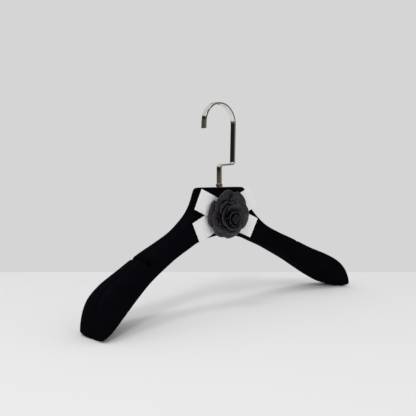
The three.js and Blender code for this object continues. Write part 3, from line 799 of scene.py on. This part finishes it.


class Field:
    """A number worked out by Math nodes: a sum written with it becomes nodes in its tree."""

    def __init__(self, tree, socket):
        self.tree = tree
        self.socket = socket

    def maths(self, operation, *values):
        node = add_node(self.tree, "ShaderNodeMath", operation=operation)
        for place, value in enumerate(values):
            if isinstance(value, Field):
                self.tree.links.new(value.socket, node.inputs[place])
            else:
                node.inputs[place].default_value = value
        return Field(self.tree, node.outputs[0])

    def __add__(self, other):
        return self.maths("ADD", self, other)

    def __sub__(self, other):
        return self.maths("SUBTRACT", self, other)

    def __rsub__(self, other):
        return self.maths("SUBTRACT", other, self)

    def __mul__(self, other):
        return self.maths("MULTIPLY", self, other)

    def __pow__(self, other):
        return self.maths("POWER", self, other)

    def size(self):
        return self.maths("ABSOLUTE", self)

    def sin(self):
        return self.maths("SINE", self)

    def cos(self):
        return self.maths("COSINE", self)

    def above(self, level):
        """How far the number is over a level, and nothing below it."""
        return self.maths("MAXIMUM", self - level, 0.0)

    def greater(self, other):
        return self.maths("MAXIMUM", self, other)


leather, tree, shader = new_finish("grained_leather", {
    "Roughness": 0.3, "Specular IOR Level": 0.5, "Specular Tint": (0.92, 0.86, 1.0, 1),
    "Coat Weight": 0.22, "Coat Roughness": 0.22})
coords = add_node(tree, "ShaderNodeTexCoord").outputs["Object"]
wander = add_node(tree, "ShaderNodeTexNoise", {"Vector": coords, "Scale": 500.0, "Detail": 2.0})
warped = add_node(tree, "ShaderNodeMixRGB", {
    "Fac": 0.0012, "Color1": coords, "Color2": wander.outputs["Color"]}, blend_type="ADD")
pebbles = add_node(tree, "ShaderNodeTexVoronoi", {
    "Vector": warped.outputs["Color"], "Scale": 480.0, "Smoothness": 0.3}, feature="SMOOTH_F1")
creases = add_node(tree, "ShaderNodeTexNoise", {"Vector": coords, "Scale": 230.0, "Detail": 5.0})
height = add_node(tree, "ShaderNodeMath", {
    0: creases.outputs["Fac"], 1: 0.6, 2: pebbles.outputs["Distance"]}, operation="MULTIPLY_ADD")
# The hide's grain in colour, with painted light on it: painted shade darkens the grain's valleys and
# creases to near black, and a painted highlight makes the pebble tops much lighter.
grain_shade_and_highlight = ramp(tree, height.outputs["Value"], [
    (0.36, (0.066, 0.053, 0.086)), (0.55, (0.0095, 0.007, 0.0145)), (0.75, (0.001, 0.0008, 0.0018))])
# Painted highlight along the petals' rims: a lighter purple-grey mixed into the leather's colour where
# the petal tree marks the rim, broken up by the crease noise.
painted_rim_highlight = add_node(tree, "ShaderNodeAttribute", attribute_name="rim_highlight_paint").outputs["Fac"]
rim_highlight_amount = add_node(tree, "ShaderNodeMath", {0: painted_rim_highlight, 1: creases.outputs["Fac"]}, operation="MULTIPLY")
colour_with_rim_highlight = add_node(tree, "ShaderNodeMixRGB", {
    "Fac": rim_highlight_amount.outputs["Value"], "Color1": grain_shade_and_highlight, "Color2": (0.085, 0.07, 0.105, 1)})
tree.links.new(colour_with_rim_highlight.outputs["Color"], shader.inputs["Base Color"])
wear = add_node(tree, "ShaderNodeMapRange", {
    "Value": height.outputs["Value"], "From Min": 0.36, "From Max": 0.8, "To Min": 0.18, "To Max": 0.42})
tree.links.new(wear.outputs["Result"], shader.inputs["Roughness"])
grain_depth = add_node(tree, "ShaderNodeMath", {0: 1.0, 1: height.outputs["Value"]}, operation="SUBTRACT")
bump = add_node(tree, "ShaderNodeBump", {
    "Height": grain_depth.outputs["Value"], "Strength": 1.0, "Distance": 0.0016})
tree.links.new(bump.outputs["Normal"], shader.inputs["Normal"])

PETAL = {
    "Root": 7.0, "Tip": 30.0, "Low": 1.3, "High": 8.0, "Spread": 1.5, "Heading": 0.0, "Outward": 1.0,
    "Rise": 1.2, "Cup": 0.0, "Roll": 2.0, "Lap": 1.05, "Ruffle": 0.5, "Phase": 0.0, "Round": 0.4,
    "Lean": 0.0, "Drop": 0.0}
petal_tree, sizes, output = new_tree("cupped_petal", PETAL)


def petal_size(name):
    return Field(petal_tree, sizes[name])


sheet_grid = add_node(petal_tree, "GeometryNodeMeshGrid", {
    "Size X": 1.0, "Size Y": 1.0, "Vertices X": 33, "Vertices Y": 25})
place_on_hide = add_node(petal_tree, "ShaderNodeSeparateXYZ", {"Vector": sheet_grid.outputs["UV Map"]})
u = Field(petal_tree, place_on_hide.outputs["X"]) * 2.0 - 1.0
v = Field(petal_tree, place_on_hide.outputs["Y"])
side = u.size()
out = v * (1.0 - petal_size("Round") * side**3.0)
bow_out = out.maths("MINIMUM", out * 1.9 + 0.35, 1.0)
bearing = petal_size("Heading") + petal_size("Spread") * 0.5 * u * (bow_out ** 0.6)
wave = (u * 5.2 + petal_size("Phase")).sin()
counter_wave = (u * 3.7 + petal_size("Phase") * 1.7).cos()
rim = (v.greater(side**2.0) - 0.74).above(0.0) * 3.846
radius = (petal_size("Root") + (petal_size("Tip") - petal_size("Root")) * out ** petal_size("Outward")
          + counter_wave * petal_size("Ruffle") * v**2.0)
height = (petal_size("Low") + (petal_size("High") - petal_size("Low")) * out ** petal_size("Rise")
          + petal_size("Lap") * u + petal_size("Cup") * side**2.0
          - petal_size("Roll") * rim**2.0 + wave * petal_size("Ruffle") * v**2.0
          + petal_size("Lean") * radius * bearing.cos())
spot = add_node(petal_tree, "ShaderNodeCombineXYZ", {
    "X": (radius * bearing.cos() + ROSETTE["x"]).socket,
    "Y": (ROSETTE["y"] - height).socket,
    "Z": (radius * bearing.sin() - petal_size("Drop") + ROSETTE["z"]).socket})
metres = add_node(petal_tree, "ShaderNodeVectorMath", {0: spot.outputs["Vector"]}, operation="SCALE")
metres.inputs["Scale"].default_value = MM
moulded = add_node(petal_tree, "GeometryNodeSetPosition", {
    "Geometry": sheet_grid.outputs["Mesh"], "Position": metres.outputs["Vector"]})
# Marks the outer rim of each petal, where the leather gets its painted highlight.
rim_highlight_mask = ((v.greater(side**2.0) - RIM_HIGHLIGHT_FROM).above(0.0) * 10.0) ** 1.5
rim_highlight_stored = add_node(petal_tree, "GeometryNodeStoreNamedAttribute", {
    "Geometry": moulded.outputs["Geometry"], "Name": "rim_highlight_paint", "Value": rim_highlight_mask.socket},
    data_type="FLOAT", domain="POINT")
finish_tree(petal_tree, rim_highlight_stored.outputs["Geometry"], leather, output)


def add_petal(name, node, settings):
    """Moulds one petal, gives it the leather's thickness and a soft cut edge, and fits it."""
    petal = grown(name, petal_tree, {**PETAL, **settings})
    thick = petal.modifiers.new("leather_weight", "SOLIDIFY")
    thick.thickness = LEATHER_WEIGHT * MM
    thick.offset = 1
    edge = petal.modifiers.new("soft_edge", "BEVEL")
    edge.width = EDGE_ROUNDING * MM
    edge.segments = 3
    edge.limit_method = "ANGLE"
    edge.angle_limit = math.radians(60)
    applied(petal)
    petal.data.shade_smooth()
    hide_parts(node)
    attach(petal, "shoulders")
    return petal


PETAL_RINGS = {
    "outer": {"Root": 7.6, "Low": 1.3, "Rise": 0.7, "Roll": 2.4, "Ruffle": 0.7, "Round": 0.26},
    "middle": {"Root": 6.0, "Low": 4.6, "Rise": 0.75, "Roll": 2.0, "Ruffle": 0.6, "Round": 0.26,
               "Lean": 0.12, "Drop": 1.6},
    "inner": {"Root": 5.4, "Low": 7.8, "Rise": 0.8, "Roll": 1.1, "Ruffle": 0.35, "Round": 0.2,
              "Lean": 0.2, "Drop": 2.8}}
# Each petal is moulded one by one: bearing and spread in degrees, reach and height, how its two
# sides lap its neighbours, how far both sides cup, and where its ruffle starts.
MOULDED = {
    "outer": [(-6, 92, 30.0, 11.4, 0, 1.0, 0.4), (41, 84, 29.8, 11.2, 1.05, 0, 2.2),
              (109, 112, 28.8, 7.4, 1.05, 0, 0.9), (179, 86, 31.4, 4.2, 0, -0.9, 3.0),
              (229, 86, 29.8, 5.6, -1.05, 0, 4.1), (287, 108, 29.2, 7.8, -1.05, 0, 5.6)],
    "middle": [(57, 86, 18.0, 12.0, 1.05, 0, 1.0), (129, 92, 19.5, 10.8, 1.05, 0, 3.1),
               (201, 92, 27.0, 9.6, 1.05, 0, 0.2), (273, 96, 23.0, 11.4, 1.05, 0, 2.0),
               (345, 90, 22.5, 12.6, 1.05, 0, 5.0)],
    "inner": [(80, 112, 15.4, 15.4, 1.0, 0, 0.6), (170, 116, 16.8, 14.6, 1.0, 0, 2.6),
              (260, 112, 15.4, 14.6, 1.0, 0, 4.0), (350, 110, 15.2, 15.2, 1.0, 0, 5.4)]}
for ring, petals in MOULDED.items():
    for i, (bearing, spread, tip, high, lap, cup, ruffle) in enumerate(petals):
        add_petal(f"{ring}_leather_petal_{i + 1}", f"{ring}_petal_{i + 1}", {
            **PETAL_RINGS[ring], "Tip": tip, "High": high, "Lap": float(lap), "Cup": float(cup),
            "Spread": math.radians(spread), "Phase": ruffle, "Heading": math.radians(bearing)})

BUD_DROP = 5.0
for i, (node, turn) in enumerate((("bud_wrap_1", 130), ("bud_wrap_2", 310))):
    add_petal(f"bud_leather_wrap_{i + 1}", node, {
        "Root": 6.3, "Tip": 9.0, "Low": 12.2, "High": 16.8, "Spread": 1.2 * math.pi, "Lap": 0.9,
        "Heading": math.radians(turn), "Rise": 0.7, "Roll": 0.5, "Ruffle": 0.15, "Round": 0.2,
        "Phase": 2.0 * i, "Lean": 0.12, "Drop": BUD_DROP})

# The bud itself is one strip rolled up on itself, squeezed a little square as it was tied.
BUD = {"turns": 2.9, "inside": 0.35, "outside": 5.2, "weight": 1.25, "steps": 130, "rows": 12,
       "foot": 0.4, "waist": 9.5, "crest": 16.8, "squareness": 0.13}


def bud_row(share):
    """One turn's place on the strip: the outline of its thickness from foot to crest and back."""
    angle = 2 * math.pi * BUD["turns"] * share
    middle = BUD["inside"] + (BUD["outside"] - BUD["inside"] - BUD["weight"] / 2) * share
    crest = BUD["crest"] + 2.6 * (1 - share) + 0.35 * math.sin(3 * angle + 1)
    ring = []
    for face in (-1, 1):
        heights = range(BUD["rows"] + 1) if face > 0 else range(BUD["rows"], -1, -1)
        for k in heights:
            t = k / BUD["rows"]
            depth = BUD["foot"] + (crest - BUD["foot"]) * t
            narrow = 0.62 + 0.38 * smooth_step(depth, BUD["waist"], BUD["waist"] + 3)
            soft = 1 if t < 1 else 0.55
            flare = 0.5 * share * smooth_step(t, 0.8, 1)
            r = (middle + flare + face * soft * BUD["weight"] / 2) * narrow
            r *= 1 + BUD["squareness"] * math.cos(4 * angle) * share
            ring.append((ROSETTE["x"] + r * math.cos(angle), ROSETTE["y"] - depth,
                         ROSETTE["z"] - BUD_DROP + r * math.sin(angle)))
    return ring


bud = loft("rolled_leather_bud", [bud_row(i / BUD["steps"]) for i in range(BUD["steps"] + 1)])
bud.data.materials.append(leather)
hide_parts("bud_core")
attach(bud, "shoulders")

felt = machined_finish("pressed_felt", (0.012, 0.012, 0.013), 0.0, 1.0, 900)
repaint("felt_disc", felt)
